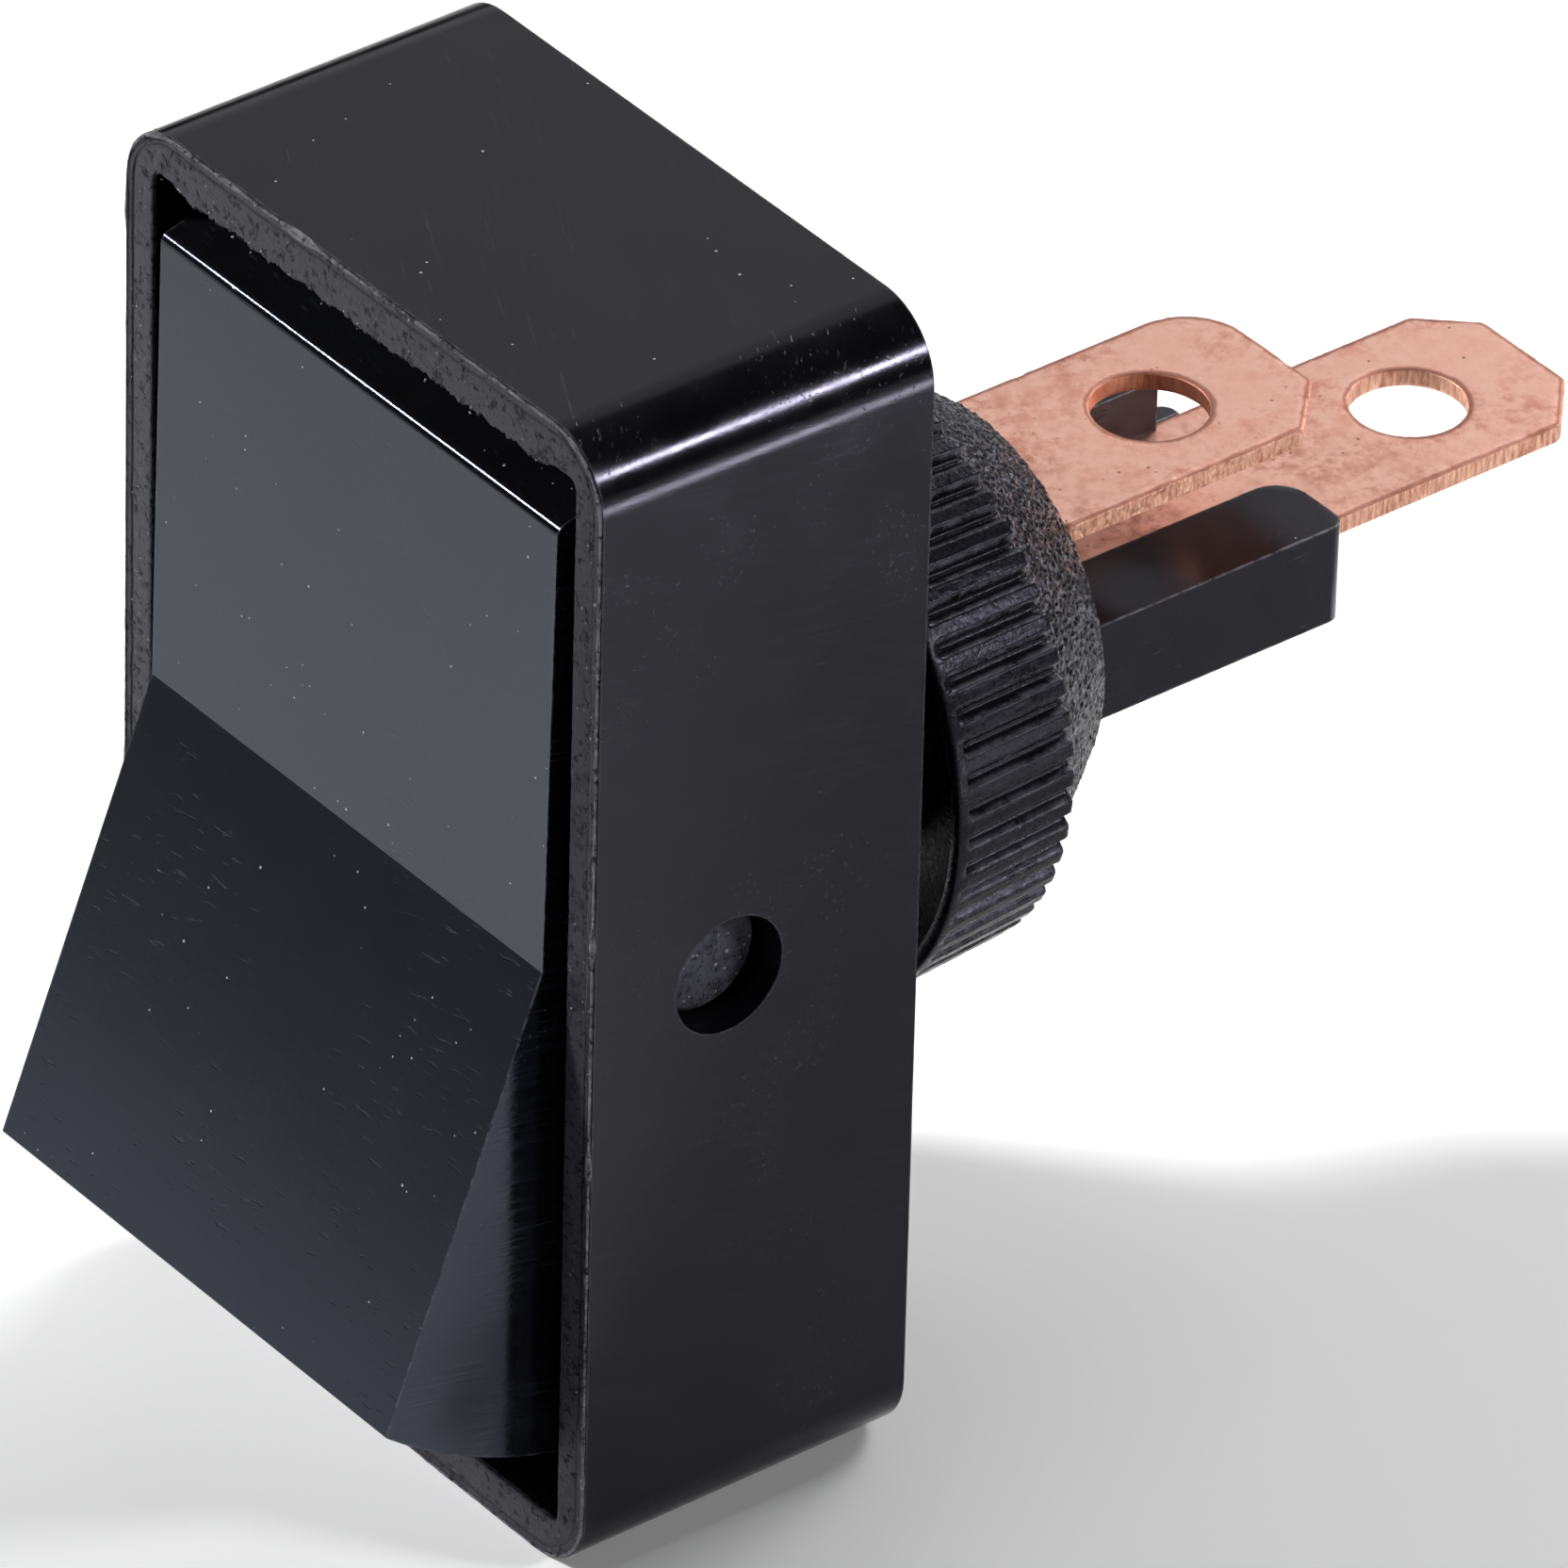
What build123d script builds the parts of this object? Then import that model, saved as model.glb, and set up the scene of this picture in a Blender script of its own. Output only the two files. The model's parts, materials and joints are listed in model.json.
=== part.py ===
from build123d import *
import math
import os

# Panel-mount rocker switch with a long boxed bezel, a threaded neck and two blade terminals.
# Frame: +X right seen from the front, +Y back into the panel, +Z up.
# The origin is the centre of the bezel's back face, on the axis of the neck. Millimetres, degrees.

# ---- driving dimensions: bezel and neck
BEZEL_WIDTH = 19.7
BEZEL_HEIGHT = 34.4
BEZEL_DEPTH = 10.3
BEZEL_CORNER = 2.0
SIDE_WALL = 1.1
END_WALL = 1.3
BACK_WALL = 1.6
WELL_CORNER = 0.3
NECK_RADIUS = 5.0
NECK_BORE = 4.25
NECK_LENGTH = 8.8
THREAD_START = 2.2
THREAD_TURNS = 6
THREAD_PITCH = 1.0
THREAD_DEPTH = 0.3
THREAD_GROOVE = 0.62
PIN_PAD_RADIUS = 2.6
PIN_PAD_HEIGHT = 0.34

# ---- driving dimensions: rocker
PIVOT_Y = -6.04
THROW = 22.0
ROCKER_WIDTH = 16.4
CREASE_DEPTH = 4.74
WING_LENGTH = 13.2
WING_TILT = 10.0
ROCKER_REAR = 1.1
ROCKER_WALL = 1.4
UPPER_EDGE_ROUND = 0.3
LOWER_EDGE_ROUND = 0.06
WING_RISE = 0.13
BOSS_RADIUS = 3.0
BOSS_INNER_X = 4.4
STEM_RADIUS = 2.3
STEM_ROOT = -4.14
STEM_END = 7.6
STEM_BORE = 1.6
STEM_BORE_FLOOR = -2.0
RIB_THICKNESS = 1.2
RIB_BITE = 0.2
FIT_GAP = 0.05
PIN_RADIUS = 1.62
PIN_HOLE = 1.68
PIN_INNER_X = 4.6
PIN_RECESS = 1.0
PIN_CHAMFER = 0.15

# ---- driving dimensions: plunger and its spring
PLUNGER_FRONT = 4.6
PLUNGER_SHOULDER = 7.9
PLUNGER_TIP_CENTRE = 8.43
PLUNGER_TIP_RADIUS = 1.1
SPRING_RADIUS = 1.05
SPRING_WIRE = 0.35
SPRING_TURNS = 7
SPRING_END_GAP = 0.02

# ---- driving dimensions: rocking contact and its cradle
FULCRUM_Y = 4.5
CONTACT_SWING = 14.0
CONTACT_ARM = 3.0
CONTACT_HALF_WIDTH = 1.8
CONTACT_THICKNESS = 0.8
CONTACT_TILT = 12.5
CONTACT_APEX = 0.9
JOURNAL_RADIUS = 0.55
CRADLE_INNER_X = 2.0
CRADLE_OUTER_X = 2.6
CRADLE_EAR_FRONT = 3.95
CRADLE_EAR_HALF_HEIGHT = 1.0
CRADLE_BOTTOM = -2.6
BUTTON_RADIUS = 0.8
BUTTON_HEIGHT = 0.35
BUTTON_SHANK = 0.4
BUTTON_CHAMFER = 0.1
BUTTON_Z = 2.45
FIXED_BUTTON_FRONT = 4.66
RIVET_Z = -1.6
RIVET_SHANK = 0.5
RIVET_HEAD = 0.9
RIVET_HEAD_HEIGHT = 0.35
STOP_WIDTH = 2.4
STOP_THICKNESS = 0.6
STOP_Z = -2.98
STOP_FRONT = 4.26

# ---- driving dimensions: terminals and their base
STRIP = 0.53
CRADLE_STRIP = 0.5
BLADE_HALF_WIDTH = 3.15
SHANK_HALF_WIDTH = 2.1
BLADE_START_Y = 9.0
LOWER_TOP_Z = 0.2
LOWER_TIP_Y = 28.05
LOWER_HOLE_Y = 24.0
UPPER_TOP_Z = 3.5
UPPER_TIP_Y = 19.38
UPPER_HOLE_Y = 15.2
TAB_HOLE_RADIUS = 1.575
TIP_CHAMFER_X = 1.3
TIP_CHAMFER_Y = 1.55
TIP_ROUND = 1.8
UPPER_CHAMFER_X = 1.6
UPPER_CHAMFER_Y = 1.75
BEND_RADIUS = 0.3
FLOOR_Y = 5.9
UPPER_FOOT_Y = 5.0
UPPER_FOOT_BOTTOM = 1.6
LOWER_FOOT_BOTTOM = -3.2
TAIL_HALF_WIDTH = 3.76
TAIL_BOTTOM = -2.43
TAIL_END = 18.85
TAIL_CORNER = 0.45
RAIL_INNER_X = 1.15
RAIL_TOP = 0.52
RAIL_ROUND = 1.0
FENCE_INNER_X = -2.86
FENCE_TOP = 1.75
FENCE_END = 17.85

# ---- driving dimensions: ring nut
NUT_FRONT = 2.3
NUT_RIM = 0.35
NUT_RIM_WALL = 0.4
NUT_RECESS = 1.0
KNURL_END = 6.2
KNURL_TEETH = 60
KNURL_FRONT_RADIUS = 8.58
KNURL_REAR_RADIUS = 8.37
KNURL_DEPTH = 0.27
KNURL_PHASE = 1.2
GROOVE_TOP_WIDTH = 0.46
GROOVE_BOTTOM_WIDTH = 0.24
OVERRUN = 0.01
CONE_START = (6.2, 7.75)
CONE_MID = (7.9, 6.64)
CONE_END = (9.55, 5.42)

# ---- derived sizes and frames
WING_RUN = WING_LENGTH * math.cos(math.radians(WING_TILT))
WING_DROP = WING_LENGTH * math.sin(math.radians(WING_TILT))
ROCKER_TIP_RADIUS = math.hypot(WING_RUN, CREASE_DEPTH + WING_DROP)
NUT_BORE_RADIUS = NECK_RADIUS + FIT_GAP
pivot = Pos(0, PIVOT_Y, 0) * Rot(-THROW / 2, 0, 0)
fulcrum = Pos(0, FULCRUM_Y, 0) * Rot(CONTACT_SWING / 2, 0, 0)


def along_x(outline, start, end):
    """Solid of a Y-Z outline between two X positions."""
    return extrude(Plane.YZ.offset(start) * outline, end - start)


def along_y(outline, start, end):
    """Solid of an X-Z outline between two Y positions."""
    return extrude(Plane.XZ.offset(-end) * outline, end - start)


def along_z(outline, start, end):
    """Solid of an X-Y outline between two Z positions."""
    return extrude(Plane.XY.offset(start) * outline, end - start)


def block(x_range, y_range, z_range):
    """Plain rectangular solid between pairs of limits."""
    size = [high - low for low, high in (x_range, y_range, z_range)]
    centre = [(high + low) / 2 for low, high in (x_range, y_range, z_range)]
    return Pos(*centre) * Box(*size)


def rod_x(radius, start, end):
    return along_x(Circle(radius), start, end)


def rod_y(radius, start, end, z=0.0):
    return along_y(Pos(0, z) * Circle(radius), start, end)


def spin_y(outline):
    """Solid of revolution about the Y axis, from an X-Y half outline."""
    return revolve(outline, Axis.Y)


def closed(*edges):
    return make_face(Curve() + list(edges))


def polygon(points):
    return make_face(Polyline(*points, close=True))


def make_thread_ring(y):
    """V-shaped ring groove in the neck, one for each turn of its thread."""
    half = THREAD_GROOVE / 2
    beyond = NECK_RADIUS + THREAD_DEPTH
    outline = [
        (beyond, y - half),
        (beyond, y + half),
        (NECK_RADIUS, y + half),
        (NECK_RADIUS - THREAD_DEPTH, y),
        (NECK_RADIUS, y - half),
    ]
    return spin_y(polygon(outline))


def make_housing():
    """Bezel box, open at the front, with the neck moulded on its back wall."""
    front = -BEZEL_DEPTH
    outer = along_y(RectangleRounded(BEZEL_WIDTH, BEZEL_HEIGHT, BEZEL_CORNER), front, 0)
    well_width = BEZEL_WIDTH - 2 * SIDE_WALL
    well_height = BEZEL_HEIGHT - 2 * END_WALL
    well = along_y(RectangleRounded(well_width, well_height, WELL_CORNER), front, -BACK_WALL)
    body = outer - well + rod_y(NECK_RADIUS, 0, NECK_LENGTH)
    body -= rod_y(NECK_BORE, -BACK_WALL, NECK_LENGTH)
    for turn in range(THREAD_TURNS):
        body -= make_thread_ring(THREAD_START + (turn + 0.5) * THREAD_PITCH)
    wall_inside = BEZEL_WIDTH / 2 - SIDE_WALL
    for start, end in (
        (-wall_inside, PIN_PAD_HEIGHT - wall_inside),
        (wall_inside - PIN_PAD_HEIGHT, wall_inside),
    ):
        body += Pos(0, PIVOT_Y, 0) * rod_x(PIN_PAD_RADIUS, start, end)
    body -= Pos(0, PIVOT_Y, 0) * rod_x(PIN_HOLE, -BEZEL_WIDTH, BEZEL_WIDTH)
    return body


def rocker_outline(front_depth, tip_radius, rear):
    """Side outline about the pivot: a shallow V in front, arcs at the ends, straight at the rear."""
    top = WING_RUN * tip_radius / ROCKER_TIP_RADIUS
    tip_y = -math.sqrt(tip_radius**2 - top**2)
    crease = tip_y + top * WING_DROP / WING_RUN + front_depth
    tip_y += front_depth
    end_z = math.sqrt(tip_radius**2 - tip_y**2)
    rear_z = math.sqrt(tip_radius**2 - rear**2)
    upper_arc = ThreePointArc((tip_y, end_z), (0, tip_radius), (rear, rear_z))
    lower_arc = ThreePointArc((rear, -rear_z), (0, -tip_radius), (tip_y, -end_z))
    return closed(
        Line((crease, 0), (tip_y, end_z)),
        upper_arc,
        Line((rear, rear_z), (rear, -rear_z)),
        lower_arc,
        Line((tip_y, -end_z), (crease, 0)),
    )


def make_rocker():
    """Hollow V-shaped paddle with pivot bosses inside its cheeks and a stem into the neck."""
    half = ROCKER_WIDTH / 2
    shell = along_x(rocker_outline(0, ROCKER_TIP_RADIUS, ROCKER_REAR), -half, half)
    across = shell.edges().filter_by(Axis.X).sort_by(Axis.Z)
    shell = fillet(ShapeList(across[-3:]).sort_by(Axis.Y)[0], UPPER_EDGE_ROUND)
    across = shell.edges().filter_by(Axis.X).sort_by(Axis.Z)
    shell = fillet(ShapeList(across[:3]).sort_by(Axis.Y)[0], LOWER_EDGE_ROUND)
    inner = ROCKER_TIP_RADIUS - ROCKER_WALL
    pocket_outline = rocker_outline(ROCKER_WALL, inner, ROCKER_REAR + 1)
    pocket = along_x(pocket_outline, ROCKER_WALL - half, half - ROCKER_WALL)
    rib_outline = rocker_outline(ROCKER_WALL / 2, inner + RIB_BITE, ROCKER_REAR)
    shell -= pocket
    shell += along_x(rib_outline, -RIB_THICKNESS / 2, RIB_THICKNESS / 2)
    shell = Pos(0, 0, WING_RISE) * shell
    shell += rod_y(STEM_RADIUS, STEM_ROOT, STEM_END)
    for side in (-1, 1):
        near, far = sorted((side * BOSS_INNER_X, side * half))
        shell += rod_x(BOSS_RADIUS, near, far)
        shell -= rod_x(PIN_RADIUS + FIT_GAP, near - 1, far + 1)
    shell -= rod_y(STEM_BORE, STEM_BORE_FLOOR, STEM_END)
    return pivot * shell


def make_pin(side):
    """Stub pin, pressed through the cheek wall of the bezel and turning inside the rocker's boss."""
    outer = BEZEL_WIDTH / 2 - PIN_RECESS
    start, end = sorted((side * PIN_INNER_X, side * outer))
    pin = rod_x(PIN_RADIUS, start, end)
    pin = chamfer(pin.edges().filter_by(GeomType.CIRCLE), PIN_CHAMFER)
    return Pos(0, PIVOT_Y, 0) * pin


def make_plunger():
    """Round-nosed plunger that slides in the stem and presses the rocking contact."""
    radius = STEM_BORE - FIT_GAP
    tip = PLUNGER_TIP_CENTRE + PLUNGER_TIP_RADIUS
    outline = closed(
        Line((0, PLUNGER_FRONT), (radius, PLUNGER_FRONT)),
        Line((radius, PLUNGER_FRONT), (radius, PLUNGER_SHOULDER)),
        Line((radius, PLUNGER_SHOULDER), (PLUNGER_TIP_RADIUS, PLUNGER_TIP_CENTRE)),
        CenterArc((0, PLUNGER_TIP_CENTRE), PLUNGER_TIP_RADIUS, 0, 90),
        Line((0, tip), (0, PLUNGER_FRONT)),
    )
    return pivot * spin_y(outline)


def make_spring():
    """Coil spring between the floor of the stem's bore and the plunger."""
    clear = SPRING_WIRE / 2 + SPRING_END_GAP
    height = PLUNGER_FRONT - STEM_BORE_FLOOR - 2 * clear
    path = Helix(height / SPRING_TURNS, height, SPRING_RADIUS)
    profile = Plane(origin=path @ 0, z_dir=path % 0) * Circle(SPRING_WIRE / 2)
    coil = sweep(profile, path=path)
    return pivot * (Pos(0, STEM_BORE_FLOOR + clear, 0) * Rot(-90, 0, 0) * coil)


def contact_outline():
    """Side outline of the rocking contact about its journal: a shallow V, open to the front."""
    tilt = math.radians(CONTACT_TILT)
    reach = CONTACT_ARM * math.tan(tilt)
    back = CONTACT_THICKNESS / math.cos(tilt)
    front = [(-CONTACT_APEX - reach, -CONTACT_ARM), (-CONTACT_APEX, 0), (-CONTACT_APEX - reach, CONTACT_ARM)]
    rear = [(y + back, z) for y, z in reversed(front)]
    return polygon(front + rear)


def button_frame():
    """Frame on the rear of the rocking contact's upper arm, where its contact button sits."""
    tilt = math.radians(CONTACT_TILT)
    y = -CONTACT_APEX - BUTTON_Z * math.tan(tilt) + CONTACT_THICKNESS / math.cos(tilt)
    return fulcrum * Pos(0, y, BUTTON_Z) * Rot(CONTACT_TILT, 0, 0)


def make_rocking_contact():
    """Brass see-saw with a cross journal, pierced for the contact button."""
    plate = along_x(contact_outline(), -CONTACT_HALF_WIDTH, CONTACT_HALF_WIDTH)
    plate += rod_x(JOURNAL_RADIUS, -CRADLE_OUTER_X, CRADLE_OUTER_X)
    return fulcrum * plate - button_frame() * rod_y(BUTTON_SHANK, -2 * CONTACT_THICKNESS, CONTACT_THICKNESS)


def make_moving_button():
    head = rod_y(BUTTON_RADIUS, 0, BUTTON_HEIGHT)
    head = chamfer(head.edges().group_by(Axis.Y)[-1], BUTTON_CHAMFER)
    return button_frame() * (head + rod_y(BUTTON_SHANK, -CONTACT_THICKNESS, 0))


def make_fixed_button():
    head = rod_y(BUTTON_RADIUS, FIXED_BUTTON_FRONT, UPPER_FOOT_Y, BUTTON_Z)
    head = chamfer(head.edges().group_by(Axis.Y)[0], BUTTON_CHAMFER)
    return head + rod_y(BUTTON_SHANK, UPPER_FOOT_Y, UPPER_FOOT_Y + STRIP, BUTTON_Z)


def make_cradle():
    """Stamped bracket whose two ears hold the see-saw's journal in open notches."""
    front = FLOOR_Y - CRADLE_STRIP
    plate = block(
        (-CRADLE_OUTER_X, CRADLE_OUTER_X), (front, FLOOR_Y), (CRADLE_BOTTOM, CRADLE_EAR_HALF_HEIGHT)
    )
    notch_radius = JOURNAL_RADIUS + FIT_GAP
    notch = Circle(notch_radius) + Pos(-1, 0) * Rectangle(2, 2 * notch_radius)
    for side in (-1, 1):
        near, far = sorted((side * CRADLE_INNER_X, side * CRADLE_OUTER_X))
        ear = block(
            (near, far), (CRADLE_EAR_FRONT, front), (-CRADLE_EAR_HALF_HEIGHT, CRADLE_EAR_HALF_HEIGHT)
        )
        plate += ear - Pos(0, FULCRUM_Y, 0) * along_x(notch, near, far)
    return plate - rod_y(RIVET_SHANK, front, FLOOR_Y, RIVET_Z)


def make_rivet():
    """Rivet that clamps the cradle to the foot of the lower terminal."""
    front = FLOOR_Y - CRADLE_STRIP
    rear = FLOOR_Y + STRIP
    rivet = rod_y(RIVET_HEAD, front - RIVET_HEAD_HEIGHT, front, RIVET_Z)
    rivet += rod_y(RIVET_SHANK, front, rear, RIVET_Z)
    return rivet + rod_y(RIVET_HEAD, rear, rear + RIVET_HEAD_HEIGHT, RIVET_Z)


def blade_outline(start, tip, hole_y, chamfer_size, round_left):
    """Plan outline of a terminal: narrow shank, full-width blade, shaped tip and a ring hole."""
    half, shank = BLADE_HALF_WIDTH, SHANK_HALF_WIDTH
    cut_x, cut_y = chamfer_size
    neck = BLADE_START_Y + half - shank
    right = Polyline(
        (shank, start),
        (shank, BLADE_START_Y),
        (half, neck),
        (half, tip - cut_y),
        (half - cut_x, tip),
    )
    if round_left:
        corner = (half - TIP_ROUND, tip - TIP_ROUND)
        end = [
            Line((half - cut_x, tip), (-corner[0], tip)),
            CenterArc((-corner[0], corner[1]), TIP_ROUND, 90, 90),
            Line((-half, corner[1]), (-half, neck)),
        ]
    else:
        end = [
            Polyline(
                (half - cut_x, tip),
                (cut_x - half, tip),
                (-half, tip - cut_y),
                (-half, neck),
            )
        ]
    left = Polyline((-half, neck), (-shank, BLADE_START_Y), (-shank, start), (shank, start))
    return closed(right, *end, left) - Pos(0, hole_y) * Circle(TAB_HOLE_RADIUS)


def make_upper_terminal():
    """Blade bent down at its front end into a foot for the fixed contact."""
    bottom = UPPER_TOP_Z - STRIP
    chamfer_size = (UPPER_CHAMFER_X, UPPER_CHAMFER_Y)
    outline = blade_outline(UPPER_FOOT_Y, UPPER_TIP_Y, UPPER_HOLE_Y, chamfer_size, True)
    blade = along_z(outline, bottom, UPPER_TOP_Z)
    foot = block(
        (-SHANK_HALF_WIDTH, SHANK_HALF_WIDTH),
        (UPPER_FOOT_Y, UPPER_FOOT_Y + STRIP),
        (UPPER_FOOT_BOTTOM, UPPER_TOP_Z),
    )
    bent = blade + foot
    bend = bent.edges().filter_by(Axis.X).group_by(Axis.Y)[0].sort_by(Axis.Z)[-1]
    bent = fillet(bend, BEND_RADIUS)
    return bent - rod_y(BUTTON_SHANK, UPPER_FOOT_Y, UPPER_FOOT_Y + STRIP, BUTTON_Z)


def make_lower_terminal():
    """Long blade bent down at its front end into a foot that carries the cradle."""
    bottom = LOWER_TOP_Z - STRIP
    chamfer_size = (TIP_CHAMFER_X, TIP_CHAMFER_Y)
    outline = blade_outline(FLOOR_Y, LOWER_TIP_Y, LOWER_HOLE_Y, chamfer_size, False)
    blade = along_z(outline, bottom, LOWER_TOP_Z)
    foot = block(
        (-SHANK_HALF_WIDTH, SHANK_HALF_WIDTH), (FLOOR_Y, FLOOR_Y + STRIP), (LOWER_FOOT_BOTTOM, LOWER_TOP_Z)
    )
    return blade + foot - rod_y(RIVET_SHANK, FLOOR_Y, FLOOR_Y + STRIP, RIVET_Z)


def tail_plan(x_near, x_far, start, end, near_round):
    """Plan outline of one strip of the tail, rounded at its rear end."""
    outline = Pos((x_near + x_far) / 2, (start + end) / 2) * Rectangle(x_far - x_near, end - start)
    rear = outline.vertices().group_by(Axis.Y)[-1].sort_by(Axis.X)
    outline = fillet(rear[0], near_round)
    return fillet(outline.vertices().group_by(Axis.Y)[-1].sort_by(Axis.X)[-1], TAIL_CORNER)


def make_terminal_base(embedded):
    """Insulator moulded round the terminals: plug in the neck, then a tail under the lower blade."""
    plug = rod_y(NECK_BORE - FIT_GAP, FLOOR_Y, NECK_LENGTH)
    pad_height = UPPER_TOP_Z - UPPER_FOOT_BOTTOM
    pad = Pos(0, UPPER_FOOT_BOTTOM + pad_height / 2) * Rectangle(2 * SHANK_HALF_WIDTH, pad_height)
    plug += along_y(pad, UPPER_FOOT_Y + STRIP, FLOOR_Y)
    stop = Pos(0, STOP_Z) * Rectangle(STOP_WIDTH, STOP_THICKNESS)
    plug += along_y(stop, STOP_FRONT, FLOOR_Y)
    half = TAIL_HALF_WIDTH
    start = NECK_LENGTH
    under = along_z(tail_plan(-half, half, start, TAIL_END, TAIL_CORNER), TAIL_BOTTOM, LOWER_TOP_Z)
    rail = along_z(tail_plan(RAIL_INNER_X, half, start, TAIL_END, RAIL_ROUND), LOWER_TOP_Z, RAIL_TOP)
    fence_plan = Pos((FENCE_INNER_X - half) / 2, (start + FENCE_END) / 2)
    fence_plan *= Rectangle(FENCE_INNER_X + half, FENCE_END - start)
    fence = along_z(fence_plan, LOWER_TOP_Z, FENCE_TOP)
    base = plug + under + rail + fence
    for piece in embedded:
        base -= piece
    return base


def make_nut():
    """Knurled plastic ring nut: thin front rim, straight knurl with draft, conical grained shoulder."""
    rim_radius = KNURL_FRONT_RADIUS
    outline = closed(
        Polyline(
            (NUT_BORE_RADIUS, NUT_FRONT + NUT_RECESS),
            (rim_radius - NUT_RIM_WALL, NUT_FRONT + NUT_RECESS),
            (rim_radius - NUT_RIM_WALL, NUT_FRONT),
            (rim_radius, NUT_FRONT),
            (rim_radius, NUT_FRONT + NUT_RIM),
            (KNURL_REAR_RADIUS, KNURL_END),
            CONE_START[::-1],
        ),
        ThreePointArc(CONE_START[::-1], CONE_MID[::-1], CONE_END[::-1]),
        Polyline(
            CONE_END[::-1],
            (NUT_BORE_RADIUS, CONE_END[0]),
            (NUT_BORE_RADIUS, NUT_FRONT + NUT_RECESS),
        ),
    )
    nut = spin_y(outline)
    groove = make_groove()
    step = 360 / KNURL_TEETH
    for tooth in range(KNURL_TEETH):
        nut -= Rot(0, step * tooth + KNURL_PHASE, 0) * groove
    return nut


def make_groove():
    """One flat-bottomed knurl groove with sloping sides, drafted with the nut."""
    flare = (GROOVE_TOP_WIDTH - GROOVE_BOTTOM_WIDTH) / 2
    sections = []
    for y, crest in (
        (NUT_FRONT + NUT_RIM, KNURL_FRONT_RADIUS),
        (KNURL_END + OVERRUN, KNURL_REAR_RADIUS),
    ):
        half_bottom = GROOVE_BOTTOM_WIDTH / 2
        half_outer = GROOVE_TOP_WIDTH / 2 + flare
        outline = [
            (crest - KNURL_DEPTH, -half_bottom),
            (crest - KNURL_DEPTH, half_bottom),
            (crest + KNURL_DEPTH, half_outer),
            (crest + KNURL_DEPTH, -half_outer),
        ]
        plane = Plane(origin=(0, y, 0), x_dir=(1, 0, 0), z_dir=(0, 1, 0))
        sections.append(plane * polygon(outline))
    return loft(sections)


nodes = {
    "housing": make_housing(),
    "rocker_paddle": make_rocker(),
    "pivot_pin_left": make_pin(-1),
    "pivot_pin_right": make_pin(1),
    "plunger": make_plunger(),
    "plunger_spring": make_spring(),
    "rocking_contact": make_rocking_contact(),
    "moving_contact": make_moving_button(),
    "fixed_contact": make_fixed_button(),
    "contact_cradle": make_cradle(),
    "cradle_rivet": make_rivet(),
    "upper_terminal": make_upper_terminal(),
    "lower_terminal": make_lower_terminal(),
    "ring_nut": make_nut(),
}
nodes["terminal_base"] = make_terminal_base(
    [nodes["upper_terminal"], nodes["lower_terminal"], nodes["cradle_rivet"]]
)

os.makedirs("parts", exist_ok=True)
for name, shape in nodes.items():
    export_step(shape, f"parts/{name}.step")
    print(name, round(shape.volume, 2))
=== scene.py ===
"""Looks of the panel-mount rocker switch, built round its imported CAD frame."""

import json
import math

import bmesh
import bpy
import numpy as np
from mathutils import Matrix, Vector, noise


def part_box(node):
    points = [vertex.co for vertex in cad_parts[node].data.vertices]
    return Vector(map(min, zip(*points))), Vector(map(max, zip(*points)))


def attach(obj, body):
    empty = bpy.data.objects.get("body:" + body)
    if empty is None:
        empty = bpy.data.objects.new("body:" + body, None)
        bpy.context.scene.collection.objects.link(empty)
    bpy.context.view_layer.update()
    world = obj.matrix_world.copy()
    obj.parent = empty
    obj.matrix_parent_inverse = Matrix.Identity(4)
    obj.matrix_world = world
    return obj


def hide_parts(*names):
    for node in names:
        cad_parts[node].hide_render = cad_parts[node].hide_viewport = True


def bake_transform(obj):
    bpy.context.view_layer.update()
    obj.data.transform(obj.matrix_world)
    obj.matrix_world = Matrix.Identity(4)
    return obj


MM = 0.001

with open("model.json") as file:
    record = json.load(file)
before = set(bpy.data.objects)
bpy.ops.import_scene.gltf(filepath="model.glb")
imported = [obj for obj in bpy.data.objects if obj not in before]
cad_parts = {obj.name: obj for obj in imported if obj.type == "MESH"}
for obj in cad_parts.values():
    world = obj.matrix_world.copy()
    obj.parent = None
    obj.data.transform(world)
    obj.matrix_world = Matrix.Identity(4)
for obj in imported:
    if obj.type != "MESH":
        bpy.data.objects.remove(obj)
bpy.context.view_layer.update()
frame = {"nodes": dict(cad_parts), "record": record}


def box_mm(node):
    """Lowest and highest corner of a CAD node, in millimetres."""
    low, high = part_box(node)
    return np.array(low) / MM, np.array(high) / MM


# ---- sizes in millimetres: those that the boxes don't give are the part's own
HOUSING_LOW, HOUSING_HIGH = box_mm("housing")
NUT_LOW, NUT_HIGH = box_mm("ring_nut")
UPPER_HIGH = box_mm("upper_terminal")[1]
LOWER_HIGH = box_mm("lower_terminal")[1]
FLOOR_Z = HOUSING_LOW[2]
STRIP = 0.53
SHANK_HALF_WIDTH = 2.1
BLADE_START_Y = 9.0
TAB_HOLE_RADIUS = 1.575
UPPER_HOLE_SET_BACK = 4.18
LOWER_HOLE_SET_BACK = 4.05


# ---- meshes

CORNER_POINTS = 9
LEAST_CIRCLE_POINTS = 24


def add_object(name, points, faces, body, material, smooth_angle):
    """Mesh object from points in millimetres, riding a body and given a material."""
    mesh = bpy.data.meshes.new(name)
    mesh.from_pydata([tuple(p) for p in np.asarray(points, float) * MM], [], faces)
    edit = bmesh.new()
    edit.from_mesh(mesh)
    bmesh.ops.recalc_face_normals(edit, faces=edit.faces)
    edit.to_mesh(mesh)
    edit.free()
    mesh.shade_smooth()
    mesh.set_sharp_from_angle(angle=math.radians(smooth_angle))
    mesh.materials.append(material)
    piece = bpy.data.objects.new(name, mesh)
    bpy.context.scene.collection.objects.link(piece)
    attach(piece, body)
    return piece


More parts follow.
